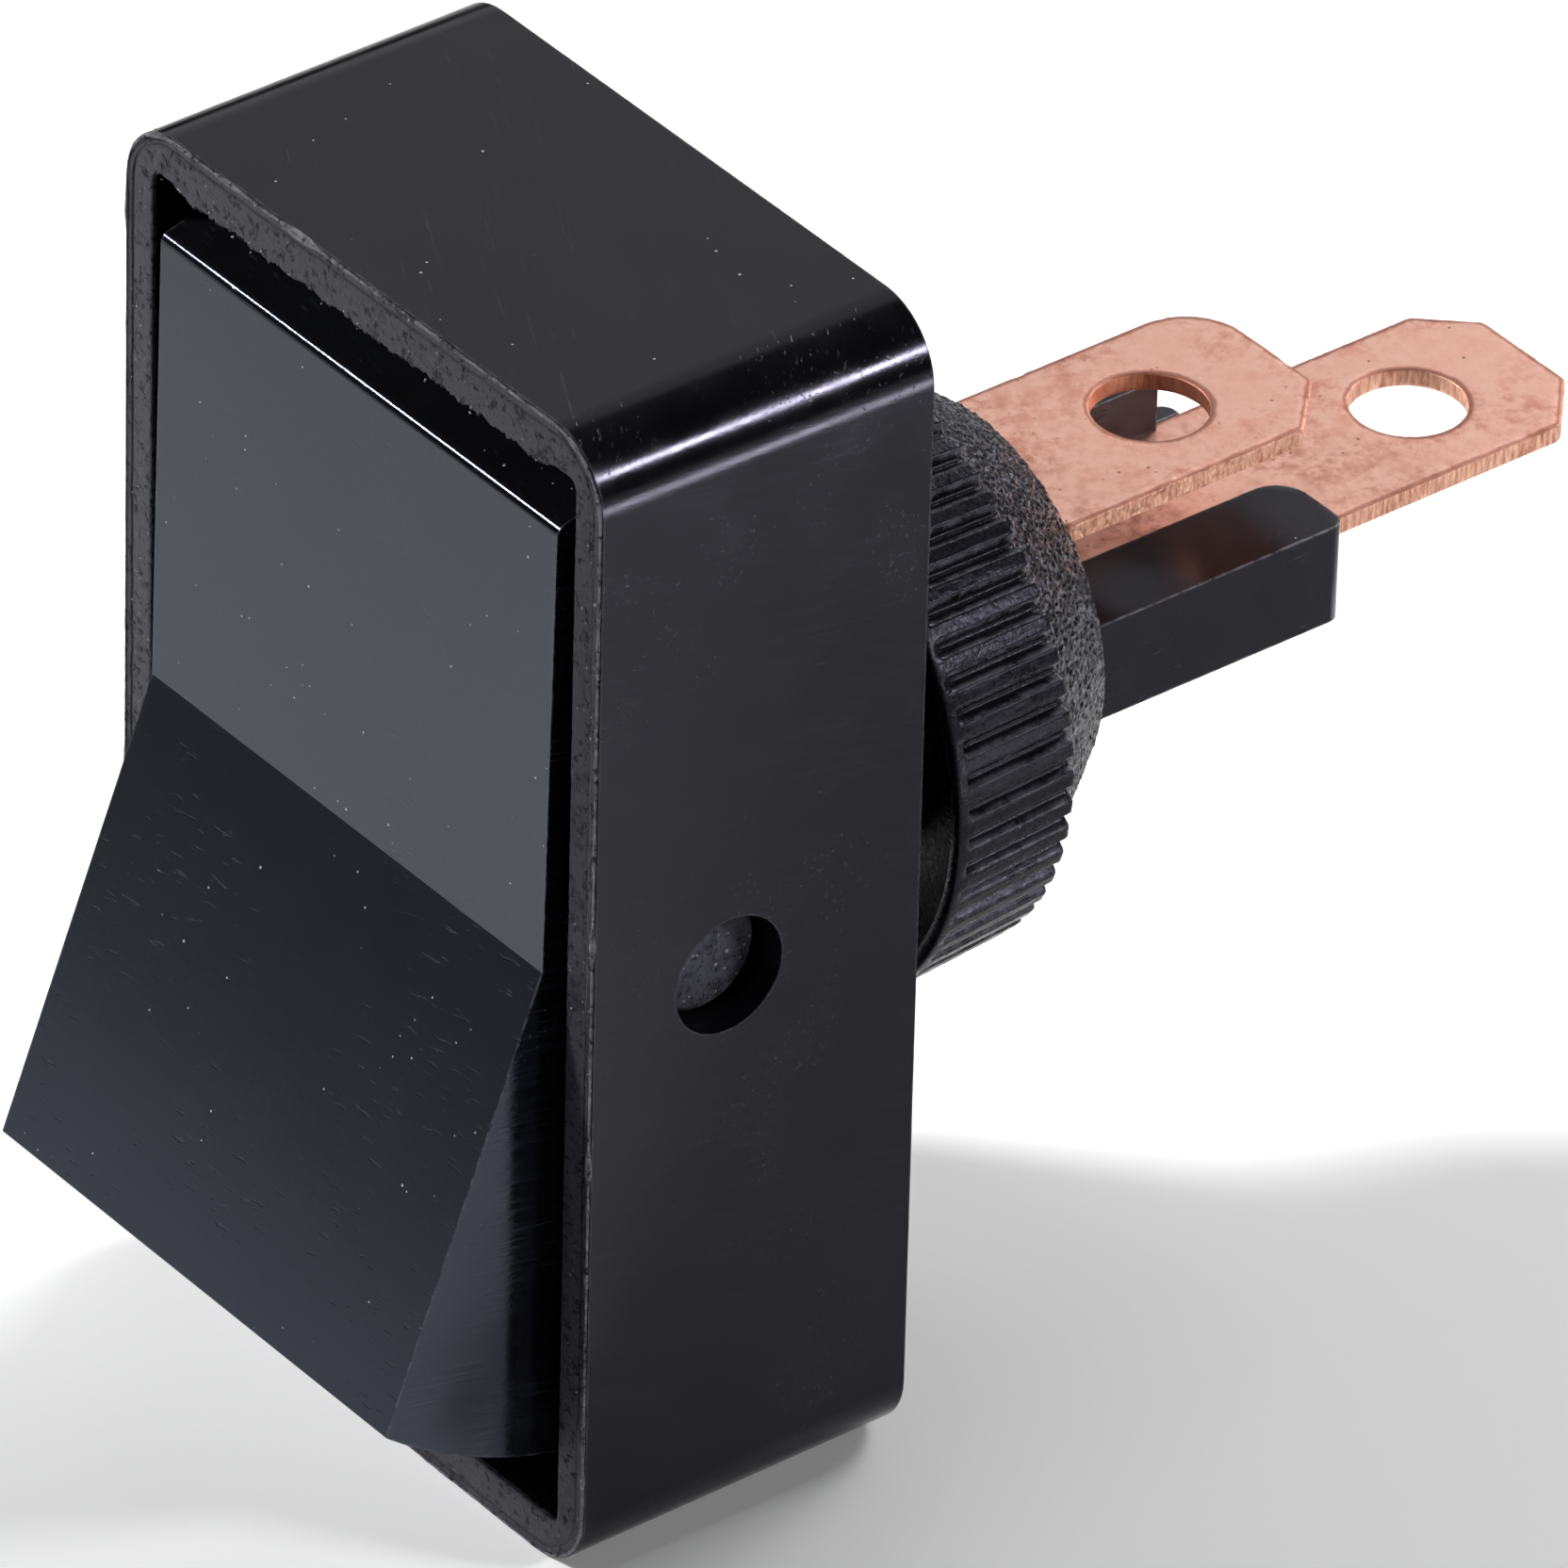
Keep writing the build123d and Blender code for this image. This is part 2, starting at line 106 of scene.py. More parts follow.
def resample(points, step):
    """Points spaced about step apart round a closed path."""
    points = np.asarray(points, float)
    points = np.vstack([points, points[:1]])
    lengths = np.hypot(*np.diff(points, axis=0).T)
    along = np.concatenate([[0], np.cumsum(lengths)])
    count = max(3, round(along[-1] / step))
    places = np.linspace(0, along[-1], count + 1)[:-1]
    return np.column_stack([np.interp(places, along, points[:, k]) for k in (0, 1)])


def rounded_path(corners, step):
    """Closed path through corners (x, y, radius), anticlockwise, with each corner rounded."""
    points = []
    for index, (x, y, radius) in enumerate(corners):
        here = Vector((x, y))
        before = (Vector(corners[index - 1][:2]) - here).normalized()
        after = (Vector(corners[(index + 1) % len(corners)][:2]) - here).normalized()
        half = before.angle(after) / 2
        centre = here + (before + after).normalized() * radius / math.sin(half)
        start = here + before * radius / math.tan(half) - centre
        end = here + after * radius / math.tan(half) - centre
        turn = math.pi - 2 * half
        for share in np.linspace(0, 1, CORNER_POINTS):
            swung = math.sin((1 - share) * turn) * start + math.sin(share * turn) * end
            points.append(centre + swung / math.sin(turn))
    return resample(points, step)


def circle_path(x, y, radius, step):
    """Circle with points about step apart."""
    count = max(LEAST_CIRCLE_POINTS, round(2 * math.pi * radius / step))
    angles = np.linspace(0, 2 * math.pi, count, endpoint=False)
    return np.column_stack([x + radius * np.cos(angles), y + radius * np.sin(angles)])


def outward(path):
    """Unit normals on the right-hand side of a closed path."""
    tangent = np.roll(path, -1, axis=0) - np.roll(path, 1, axis=0)
    normal = np.column_stack([tangent[:, 1], -tangent[:, 0]])
    return normal / np.linalg.norm(normal, axis=1)[:, None]


def plate(outline, holes, top, rows, rough, hole_rows=None):
    """Points and faces of a flat plate. Rows are (inset, depth) steps down its rim, hole_rows those
    down a hole's, and rough(x, y, depth, is_hole) is a further inset at each point."""
    points, faces = [], []
    for path, is_hole in [(outline, False)] + [(hole[::-1], True) for hole in holes]:
        normals = outward(path)
        first, count = len(points), len(path)
        steps = hole_rows if is_hole and hole_rows else rows
        for inset, depth in steps:
            for (x, y), normal in zip(path, normals):
                extra = rough(x, y, depth, is_hole)
                points.append((*(np.array((x, y)) - normal * (inset + extra)), top - depth))
        for row in range(len(steps) - 1):
            for k in range(count):
                a, b = first + row * count + k, first + row * count + (k + 1) % count
                faces.append((a, a + count, b + count, b))
    mesh = bmesh.new()
    for p in points:
        mesh.verts.new(p)
    mesh.verts.ensure_lookup_table()
    for face in faces:
        mesh.faces.new([mesh.verts[k] for k in face])
    middle = top - rows[-1][1] / 2
    rims = [e for e in mesh.edges if e.is_boundary]
    for is_upper in (True, False):
        loop = [e for e in rims if (e.verts[0].co.z > middle) == is_upper]
        bmesh.ops.triangle_fill(mesh, use_beauty=True, edges=loop)
    mesh.verts.index_update()
    points = [tuple(v.co) for v in mesh.verts]
    faces = [[v.index for v in f.verts] for f in mesh.faces]
    mesh.free()
    return points, faces


def joined(*shapes):
    """One list of points and faces out of several."""
    points, faces = [], []
    for more_points, more_faces in shapes:
        first = len(points)
        points.extend(more_points)
        faces.extend([[k + first for k in face] for face in more_faces])
    return points, faces


def mark(piece, name, values):
    """Store a value at each vertex for the materials; vertices past the list get 0."""
    values = np.concatenate([values, np.zeros(len(piece.data.vertices) - len(values))])
    piece.data.attributes.new(name, "FLOAT", "POINT").data.foreach_set("value", values)


def grain(x, y, z, frequency, seed):
    """Smooth noise round 0 at a point; another seed gives another pattern."""
    return noise.noise(Vector((x * frequency + seed, y * frequency - seed, z * frequency + 2 * seed)))


# ---- the two blade terminals: rolled upper edges, sheared and torn sides

ROOT_ROUND = 0.05
SHOULDER_ROUND = 0.2
CUT_ROUND = 0.35
BLADE_ROOT_INSET = 0.1
HOLE_STEP = 0.06
FOOT_ROUND = 0.1
FOOT_STEP = 0.1
FOOT_ROWS = [(0.1, 0), (0, 0.05), (0, STRIP)]
RIM_ROWS = [
    (0.30, 0.0),
    (0.07, 0.0),
    (0.025, 0.008),
    (0.006, 0.028),
    (0.0, 0.06),
    (0.0, 0.10),
    (0.0, 0.16),
    (0.0, 0.24),
    (0.0, 0.32),
    (0.0, 0.40),
    (0.01, 0.47),
    (0.04, STRIP),
    (0.30, STRIP),
]


def torn_edge(x, y, depth, is_hole):
    """Inset of the upper blade's side: a smooth burnished top and a torn lower part."""
    if depth <= 0.0 or depth >= STRIP:
        return 0.01 * grain(x, y, 0, 2.5, 3.1)
    if is_hole:
        return 0.006 * grain(x, y, depth, 6.0, 9.0)
    tear = min(1.0, max(0.0, (depth - 0.04) / 0.2 + 1.4 * grain(x, y, 0, 1.1, 5.0)))
    lumps = 0.07 * grain(x, y, depth, 4.5, 1.7) + 0.04 * grain(x, y, depth, 11.0, 2.3)
    return max(-0.01, tear * (0.035 + lumps))


def striated_edge(x, y, depth, is_hole):
    """Inset of the lower blade's side: fine lines straight across the strip's thickness."""
    lines = 0.007 * grain(x, y, 0, 16.0, 4.0) + 0.006 * grain(x, y, 0, 6.0, 8.0)
    inner = 0.008 * grain(x, y, depth, 9.0, 6.0)
    return lines + inner if 0.0 < depth < STRIP else 0.4 * lines


def blade_corners(start, tip, right_cut, left_cut=None, left_round=None):
    """Corners of a blade in plan. Its tip's right corner is cut, its left one cut or rounded."""
    half = LOWER_HIGH[0]
    shoulder = BLADE_START_Y + half - SHANK_HALF_WIDTH
    corners = [
        (SHANK_HALF_WIDTH, start, ROOT_ROUND),
        (SHANK_HALF_WIDTH, BLADE_START_Y, SHOULDER_ROUND),
        (half, shoulder, SHOULDER_ROUND),
        (half, tip - right_cut[1], CUT_ROUND),
        (half - right_cut[0], tip, CUT_ROUND),
    ]
    if left_round:
        corners.append((-half, tip, left_round))
    else:
        corners.append((left_cut[0] - half, tip, CUT_ROUND))
        corners.append((-half, tip - left_cut[1], CUT_ROUND))
    corners.append((-half, shoulder, SHOULDER_ROUND))
    corners.append((-SHANK_HALF_WIDTH, BLADE_START_Y, SHOULDER_ROUND))
    corners.append((-SHANK_HALF_WIDTH, start, ROOT_ROUND))
    return corners


def foot_shape(front, low, high, hole_z, hole_radius):
    """Foot of a terminal: a plate across the neck, pierced for its rivet or button."""
    half = SHANK_HALF_WIDTH
    corners = [(x, z, FOOT_ROUND) for x, z in ((half, low), (half, high), (-half, high), (-half, low))]
    outline = rounded_path(corners, FOOT_STEP)
    hole = circle_path(0, hole_z, hole_radius, FOOT_STEP)
    points, faces = plate(outline, [hole], 0, FOOT_ROWS, striated_edge)
    return [(x, front - depth, z) for x, z, depth in points], faces


def make_terminal(name, tip_shape, set_back, foot_hole, rough, step, material):
    """Blade and foot of a terminal. The foot's hole is (z, radius), the blade's is set back from its tip."""
    low, high = box_mm(name)
    tip = high[1]
    outline = rounded_path(blade_corners(low[1] + BLADE_ROOT_INSET, tip, **tip_shape), step)
    hole = circle_path(0, tip - set_back, TAB_HOLE_RADIUS, HOLE_STEP)
    blade = plate(outline, [hole], high[2], RIM_ROWS, rough)
    foot = foot_shape(low[1], low[2], high[2] - STRIP / 2, *foot_hole)
    points, faces = joined(blade, foot)
    piece = add_object(
        name + "_strip", points, faces, "housing_body", material, smooth_angle=40
    )
    inner_rows = len(RIM_ROWS) - 2
    rims = []
    for path in (outline, hole):
        rims.append(np.repeat((0, 1, 0), (len(path), len(path) * inner_rows, len(path))))
    mark(piece, "rim", np.concatenate(rims))
    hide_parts(name)


# ---- the ring nut: knurled ridges and a pebbled conical shoulder

KNURL_TEETH = 60
KNURL_PHASE = math.radians(1.2)
KNURL_DEPTH = 0.27
KNURL_END = 6.2
GROOVE_TOP_WIDTH = 0.46
GROOVE_BOTTOM_WIDTH = 0.24
CREST_ROUND = 0.04
NUT_RIM = 0.35
NUT_RIM_WALL = 0.4
NUT_RECESS = 1.0
NUT_BORE = 5.05
PEBBLE_HEIGHT = 0.085
SAMPLES_PER_TOOTH = 18
KNURL_ROWS = 20
SHOULDER_ROWS = 52
KNURL_TAPER = 0.21
PEBBLE_MEAN = 0.4

# shares of the knurl's depth between which a ridge's edge is painted pale, as a highlight on the crests
CREST_EDGE = (0.02, 0.5)

# points (y, radius) that the shoulder's curve passes through
CONE = [(KNURL_END, 7.75), (7.9, 6.64), (9.55, 5.42)]


def knurl_depth(angle, tip_radius):
    """Depth of the knurl at an angle round the nut: flat grooves, sloping sides, eased crests."""
    step = 2 * math.pi / KNURL_TEETH
    from_groove = abs(((angle - KNURL_PHASE) / step) % 1 - 0.5) * step * tip_radius
    share = (GROOVE_TOP_WIDTH / 2 + CREST_ROUND - from_groove) / (GROOVE_TOP_WIDTH - GROOVE_BOTTOM_WIDTH)
    share = min(1.0, max(0.0, share))
    return KNURL_DEPTH * share * share * (3 - 2 * share)


def nut_rows():
    """Rows (y, radius, share of groove, share of grain) round the nut's section."""
    front, tip = NUT_LOW[1], NUT_HIGH[0]
    rear_tip = tip - KNURL_TAPER
    recess = front + NUT_RECESS
    wall = tip - NUT_RIM_WALL
    groove_start = front + NUT_RIM
    rows = [
        (recess, NUT_BORE + 0.05, 0, 0),
        (recess, wall, 0, 0),
        (front + 0.06, wall, 0, 0),
        (front, wall + 0.06, 0, 0),
        (front, tip - 0.07, 0, 0),
        (front + 0.03, tip - 0.02, 0, 0),
        (front + 0.08, tip, 0, 0),
        (groove_start - 0.05, tip, 0, 0.2),
        (groove_start, tip, 0.15, 0.2),
        (groove_start + 0.04, tip, 0.6, 0.2),
        (groove_start + 0.1, tip, 0.95, 0.2),
    ]
    for share in np.linspace(0.06, 0.97, KNURL_ROWS):
        y = groove_start + share * (KNURL_END - groove_start)
        rows.append((y, tip + share * (rear_tip - tip), 1, 0.2))
    rows += [
        (KNURL_END - 0.03, rear_tip - 0.01, 1, 0.2),
        (KNURL_END, rear_tip - 0.06, 1, 0.2),
        (KNURL_END + 0.01, 7.95, 0, 0.3),
        (KNURL_END + 0.02, 7.84, 0, 0.6),
    ]
    y_cone, r_cone = zip(*CONE)
    rear, rear_radius = CONE[-1]
    curve = np.polyfit(y_cone, r_cone, 2)
    for y in np.linspace(y_cone[0] + 0.04, rear - 0.05, SHOULDER_ROWS):
        rows.append((y, np.polyval(curve, y), 0, 1))
    rows += [
        (rear, rear_radius - 0.06, 0, 0.4),
        (rear, NUT_BORE + 0.08, 0, 0),
        (rear - 0.08, NUT_BORE, 0, 0),
        (recess + 0.05, NUT_BORE, 0, 0),
    ]
    return rows


def make_nut(material):
    """The nut's skin: its section swept round, with the knurl cut and the grain raised on it."""
    count = KNURL_TEETH * SAMPLES_PER_TOOTH
    angles = np.arange(count) * 2 * math.pi / count
    rows = nut_rows()
    points, faces = [], []
    depth = [knurl_depth(angle, NUT_HIGH[0]) for angle in angles]
    for y, radius, groove, grained in rows:
        for angle, cut in zip(angles, depth):
            r = radius - groove * cut
            x, z = r * math.cos(angle), r * math.sin(angle)
            if grained:
                pebbles = abs(grain(x, y, z, 5.6, 11.0)) + 0.5 * grain(x, y, z, 10.0, 3.0)
                r += grained * PEBBLE_HEIGHT * (pebbles - PEBBLE_MEAN)
                x, z = r * math.cos(angle), r * math.sin(angle)
            points.append((x, y, z))
    for row in range(len(rows)):
        below, above = row * count, (row + 1) % len(rows) * count
        for k in range(count):
            right = (k + 1) % count
            faces.append((below + k, below + right, above + right, above + k))
    piece = add_object("ring_nut_knurled", points, faces, "nut", material, smooth_angle=50)
    # the ridges' edges, which the material paints pale as a highlight
    cut_share = np.array(depth) / KNURL_DEPTH
    crest = (cut_share > CREST_EDGE[0]) & (cut_share < CREST_EDGE[1])
    mark(piece, "crest", np.concatenate([crest * (groove > 0.5) for _, _, groove, _ in rows]))
    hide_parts("ring_nut")


# ---- the plunger's spring, copied from its CAD node

def make_spring(material):
    """Coil copied in place from its CAD node, with one end in the rocker."""
    source = frame["nodes"]["plunger_spring"]
    mesh = source.data.copy()
    mesh.transform(source.matrix_world)
    mesh.materials.clear()
    mesh.materials.append(material)
    piece = bpy.data.objects.new("plunger_spring_coil", mesh)
    bpy.context.scene.collection.objects.link(piece)
    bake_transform(piece)
    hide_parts("plunger_spring")


# ---- torn moulding rim on the bezel's front face

BEZEL_CORNER = 2.0
SIDE_WALL = 1.1
END_WALL = 1.3
WELL_CORNER = 0.3
RIM_PROUD = 0.03
RIM_DEPTH = 0.16
HANG_FROM_Z = 15.2
HANG_TO_X = 7.9
FLASH_INSET = 0.07
FLASH_SIDES = 6
STRONG_FLASH_BAND = 1.2
WEAK_FLASH = 0.45
CRUMB_SEED = 5
TOP_CRUMBS = 30
LEFT_CRUMBS = 14
RIGHT_CRUMBS = 26
CRUMB_REACH = 8.6


def rectangle_corners(half_width, half_height, radius):
    """Corners of an upright rectangle round the origin, anticlockwise."""
    return [
        (half_width, -half_height, radius),
        (half_width, half_height, radius),
        (-half_width, half_height, radius),
        (-half_width, -half_height, radius),
    ]


def ragged_rim(x, z, depth, is_hole):
    """Torn flash hangs into the opening along its top edge, and is slight elsewhere."""
    if not is_hole:
        return 0.03 + 0.03 * grain(x, 0, z, 1.5, 2.0) + 0.012 * grain(x, 0, z, 7.0, 6.0)
    top = min(1.0, max(0.0, (z - HANG_FROM_Z) / 0.5)) * min(1.0, max(0.0, (HANG_TO_X - abs(x)) / 0.6))
    strips = noise.noise(Vector((x * 0.55, 4.2, 0))) + 0.5 * noise.noise(Vector((x * 2.1, 7.7, 0)))
    teeth = 0.10 * noise.noise(Vector((x * 3.1, 1.3, depth * 6)))
    teeth += 0.13 * noise.noise(Vector((x * 11, 2.2, 0)))
    hang = 0.17 + 0.16 * strips + teeth
    return -top * max(0.0, hang) - 0.016 * (1 + 1.5 * grain(x, 0, z, 5.0, 1.0))


def make_rim(material):
    """Front face of the bezel, with a furrow along its edge and a torn edge at the opening."""
    half_width, half_height = HOUSING_HIGH[0], HOUSING_HIGH[2]
    outer = rounded_path(rectangle_corners(half_width, half_height, BEZEL_CORNER), step=0.06)
    opening = rectangle_corners(half_width - SIDE_WALL, half_height - END_WALL, WELL_CORNER)
    inner = rounded_path(opening, step=0.04)
    furrow = [(0.36, 0), (0.31, 0.035), (0.28, 0.04), (0.24, 0)]
    edge = [(0.05, 0.0), (0.01, 0.03), (0.0, 0.08), (0.02, RIM_DEPTH), (0.12, RIM_DEPTH)]
    points, faces = plate(outer, [inner], 0, furrow + edge, ragged_rim, [(0.12, 0)] + edge)
    front = HOUSING_LOW[1] - RIM_PROUD
    points = [(x, front - depth, z) for x, z, depth in points]
    add_object(
        "bezel_rim_face", points, faces, "housing_body", material, smooth_angle=40
    )


def make_flash(material):
    """Thin broken line of moulding flash along the front edge of the bezel; its pale colour is a painted
    highlight.
    """
    half_width, half_height = HOUSING_HIGH[0], HOUSING_HIGH[2]
    corners = rectangle_corners(
        half_width - FLASH_INSET, half_height - FLASH_INSET, BEZEL_CORNER - FLASH_INSET
    )
    path = rounded_path(corners, step=0.05)
    points, faces = [], []
    front = HOUSING_LOW[1] - RIM_PROUD
    for (x, z), normal in zip(path, outward(path)):
        is_strong = z > half_height - STRONG_FLASH_BAND or x > half_width - STRONG_FLASH_BAND
        strength = 1.0 if is_strong else WEAK_FLASH
        along = noise.noise(Vector((x * 1.1, z * 1.1, 5.5)))
        along += 0.7 * noise.noise(Vector((x * 4, z * 4, 1.5)))
        lump = max(0.0, noise.noise(Vector((x * 0.6, z * 0.6, 9.1))) - 0.25)
        radius = 0.014 + strength * (0.026 + 0.035 * max(0.0, along) + 0.16 * lump)
        for k in range(FLASH_SIDES):
            angle = 2 * math.pi * k / FLASH_SIDES
            shift = normal * radius * math.cos(angle)
            points.append((x + shift[0], front + radius * math.sin(angle), z + shift[1]))
    for ring in range(len(path)):
        a, b = ring * FLASH_SIDES, (ring + 1) % len(path) * FLASH_SIDES
        for k in range(FLASH_SIDES):
            right = (k + 1) % FLASH_SIDES
            faces.append((a + k, a + right, b + right, b + k))
    add_object(
        "bezel_edge_flash", points, faces, "housing_body", material, smooth_angle=60
    )


def crumb(centre, size, rng):
    """Points and faces of one irregular crumb of torn plastic."""
    mesh = bmesh.new()
    bmesh.ops.create_icosphere(mesh, subdivisions=1, radius=1.0)
    stretch = size * rng.uniform(0.5, 1.4, 3)
    points = [np.array(v.co) * stretch * rng.uniform(0.7, 1.2) + centre for v in mesh.verts]
    faces = [[v.index for v in f.verts] for f in mesh.faces]
    mesh.free()
    return points, faces


def make_crumbs(material):
    """Pale crumbs at the bezel's front face: along its top, then down its left and its right side. Their
    white colour is partly painted glints.
    """
    rng = np.random.default_rng(CRUMB_SEED)
    front = HOUSING_LOW[1] - RIM_PROUD
    half_width, half_height = HOUSING_HIGH[0], HOUSING_HIGH[2]
    shapes = []
    for _ in range(TOP_CRUMBS):
        x = rng.uniform(-CRUMB_REACH, CRUMB_REACH)
        z = half_height - rng.choice((0.05, 1.5, 1.3)) - rng.uniform(0, 0.12)
        shapes.append(crumb((x, front, z), rng.uniform(0.02, 0.055), rng))
    for _ in range(LEFT_CRUMBS):
        place = (-half_width + rng.uniform(0.3, 0.75), front, rng.uniform(2.0, 15.0))
        shapes.append(crumb(place, rng.uniform(0.015, 0.035), rng))
    for _ in range(RIGHT_CRUMBS):
        place = (half_width - rng.uniform(0.05, 1.0), front, rng.uniform(-14.0, 15.8))
        shapes.append(crumb(place, rng.uniform(0.015, 0.045), rng))
    points, faces = joined(*shapes)
    add_object("bezel_crumbs", points, faces, "housing_body", material, smooth_angle=60)


# ---- materials

COOL_SHEEN = (0.78, 0.75, 1.0, 1.0)
BLUE_SHEEN = (0.60, 0.71, 1.0, 1.0)

SCRATCH_GREY = (0.045, 0.046, 0.052)
SCRAPE_BLUE = (0.028, 0.034, 0.048)
DUST_GREY = (0.36, 0.36, 0.36)
# painted shade inside pits
PIT_SHADE = (0.002, 0.002, 0.0025)

NYLON_DARK = (0.003, 0.003, 0.004)
NYLON_LIGHT = (0.006, 0.006, 0.008)
# painted highlight on the ridges' edges
NYLON_CREST_HIGHLIGHT = (0.085, 0.085, 0.105)
NYLON_GLINT = (0.11, 0.11, 0.135)
NYLON_DUST = (0.20, 0.20, 0.21)

COPPER_LIGHT = (0.82, 0.49, 0.40)
COPPER_DARK = (0.68, 0.355, 0.27)
COPPER_TARNISH = (0.34, 0.13, 0.09)
# partly tarnish, partly painted shade on the rolled rims
COPPER_RIM_TARNISH_AND_SHADE = (0.20, 0.065, 0.04)
COPPER_PIT = (0.13, 0.045, 0.03)
COPPER_CUT_DARK = (0.42, 0.15, 0.085)
COPPER_CUT_LIGHT = (0.86, 0.55, 0.41)
# painted shade in the upper blade's hole wall
COPPER_HOLE_SHADE = (0.50, 0.17, 0.08)

# ShaderNodeMix has a set of sockets for each type of value: these are the ones for colours
MIX_SHARE, MIX_FIRST, MIX_SECOND, MIX_RESULT = 0, 6, 7, 2


class Shader:
    """Short names for the nodes that the materials share."""

    def __init__(self, name, **fixed):
        self.material = bpy.data.materials.new(name)
        self.material.use_nodes = True
        self.tree = self.material.node_tree
        self.surface = self.tree.nodes["Principled BSDF"]
        for socket, value in fixed.items():
            self.surface.inputs[socket.replace("_", " ")].default_value = value
        self.place = self.node("ShaderNodeTexCoord").outputs["Object"]

    def feed(self, socket, value):
        """Link another node's output to a socket, or set the socket's own value."""
        if isinstance(value, bpy.types.NodeSocket):
            self.tree.links.new(value, socket)
        else:
            socket.default_value = value

    def node(self, kind, inputs=None, **settings):
        """New node with its settings made and its named inputs fed."""
        made = self.tree.nodes.new(kind)
        for key, value in settings.items():
            setattr(made, key, value)
        for key, value in (inputs or {}).items():
            self.feed(made.inputs[key], value)
        return made

    def stretched(self, scale=(1, 1, 1), turn=(0, 0, 0)):
        """Object coordinates in millimetres, turned and then scaled along each axis."""
        turned = self.node("ShaderNodeMapping", {"Vector": self.place, "Rotation": turn})
        size = tuple(s / MM for s in scale)
        return self.node("ShaderNodeMapping", {"Vector": turned.outputs[0], "Scale": size}).outputs[0]

    def noise(self, frequency, detail=3.0, rough=0.5, place=None):
        """Fractal noise from 0 to 1. Its frequency is per millimetre, unless its place is stretched."""
        inputs = {"Vector": place or self.stretched(), "Scale": frequency}
        inputs.update({"Detail": detail, "Roughness": rough})
        return self.node("ShaderNodeTexNoise", inputs).outputs["Fac"]

    def span(self, value, low, high, to_low=0.0, to_high=1.0):
        """Value mapped from low..high to another range, clamped."""
        inputs = {"Value": value, "From Min": low, "From Max": high, "To Min": to_low, "To Max": to_high}
        return self.node("ShaderNodeMapRange", inputs).outputs["Result"]

    def maths(self, operation, a, b):
        """Result of one operation on two values."""
        made = self.node("ShaderNodeMath", operation=operation)
        self.feed(made.inputs[0], a)
        self.feed(made.inputs[1], b)
        return made.outputs[0]

    def blend(self, share, first, second):
        """Colour mixed from first to second."""
        made = self.node("ShaderNodeMix", data_type="RGBA")
        self.feed(made.inputs[MIX_SHARE], share)
        for key, colour in ((MIX_FIRST, first), (MIX_SECOND, second)):
            self.feed(made.inputs[key], (*colour, 1.0) if isinstance(colour, tuple) else colour)
        return made.outputs[MIX_RESULT]

    def bump(self, height, depth_mm, under=None):
        """Surface normal tilted by a height, on top of the normal under it."""
        inputs = {"Height": height, "Distance": depth_mm * MM, "Strength": 1.0}
        if under:
            inputs["Normal"] = under
        return self.node("ShaderNodeBump", inputs).outputs["Normal"]

    def specks(self, frequency, size, chance):
        """Small round dots: 1 at the middle of a dot, in about the given share of cells."""
        place = self.stretched()
        made = self.node("ShaderNodeTexVoronoi", {"Vector": place, "Scale": frequency})
        pick = self.node("ShaderNodeSeparateColor", {"Color": made.outputs["Color"]}).outputs[0]
        near = self.span(made.outputs["Distance"], size, size * 0.4)
        return self.maths("MULTIPLY", near, self.maths("LESS_THAN", pick, chance))

    def scratches(self, turn, width, threshold):
        """Long thin lines along one turned axis, in patches."""
        place = self.stretched((0.35, 7.0, 7.0), turn)
        lines = self.noise(1.0, 2.0, 0.6, place)
        patches = self.noise(0.25, 2.0)
        ridge = self.span(lines, threshold, threshold + width)
        return self.maths("MULTIPLY", ridge, self.span(patches, 0.45, 0.62))

    def edge(self, radius_mm, low, high):
        """Above 0 within a radius of an edge, more where the bend is sharper, and 0 on flat faces."""
        bevel = self.node("ShaderNodeBevel", {"Radius": radius_mm * MM}, samples=4)
        flat = self.node("ShaderNodeNewGeometry").outputs["Normal"]
        made = self.node("ShaderNodeVectorMath", operation="DOT_PRODUCT")
        self.feed(made.inputs[0], bevel.outputs[0])
        self.feed(made.inputs[1], flat)
        return self.span(made.outputs["Value"], 1 - low, 1 - high)

    def stored(self, name):
        """A value stored at the mesh's vertices."""
        return self.node("ShaderNodeAttribute", attribute_name=name).outputs["Fac"]

    def normal_part(self, axis):
        """Size of the surface normal's part along one axis of the object."""
        made = self.node("ShaderNodeTexCoord")
        parts = self.node("ShaderNodeSeparateXYZ", {"Vector": made.outputs["Normal"]})
        return self.maths("ABSOLUTE", parts.outputs[axis], 0.0)

    def facing_x(self):
        """1 on faces square to the X axis, 0 on those that lean far from that."""
        return self.span(self.normal_part("X"), 0.9, 0.97)

    def cut_side(self):
        """1 on a blade's sheared sides, 0 on its flat faces."""
        return self.span(self.normal_part("Z"), 0.8, 0.35)

    def past_y(self, y_mm):
        """1 behind a plane across the Y axis, 0 in front of it."""
        parts = self.node("ShaderNodeSeparateXYZ", {"Vector": self.stretched()})
        return self.span(parts.outputs["Y"], y_mm - 0.05, y_mm + 0.05)

    def near_axis(self, y_mm, radius_mm):
        """1 within a radius of an upright axis at x = 0 and the given y."""
        level = self.stretched((1, 1, 0))
        shifted = self.node("ShaderNodeMapping", {"Vector": level, "Location": (0, -y_mm, 0)})
        made = self.node("ShaderNodeVectorMath", {"Vector": shifted.outputs[0]}, operation="LENGTH")
        return self.span(made.outputs["Value"], radius_mm + 0.05, radius_mm)

    def finish(self, colour, roughness=None, normal=None):
        """The material, with what was worked out linked to its surface."""
        for socket, value in (("Base Color", colour), ("Roughness", roughness), ("Normal", normal)):
            if value is not None:
                self.feed(self.surface.inputs[socket], value)
        return self.material


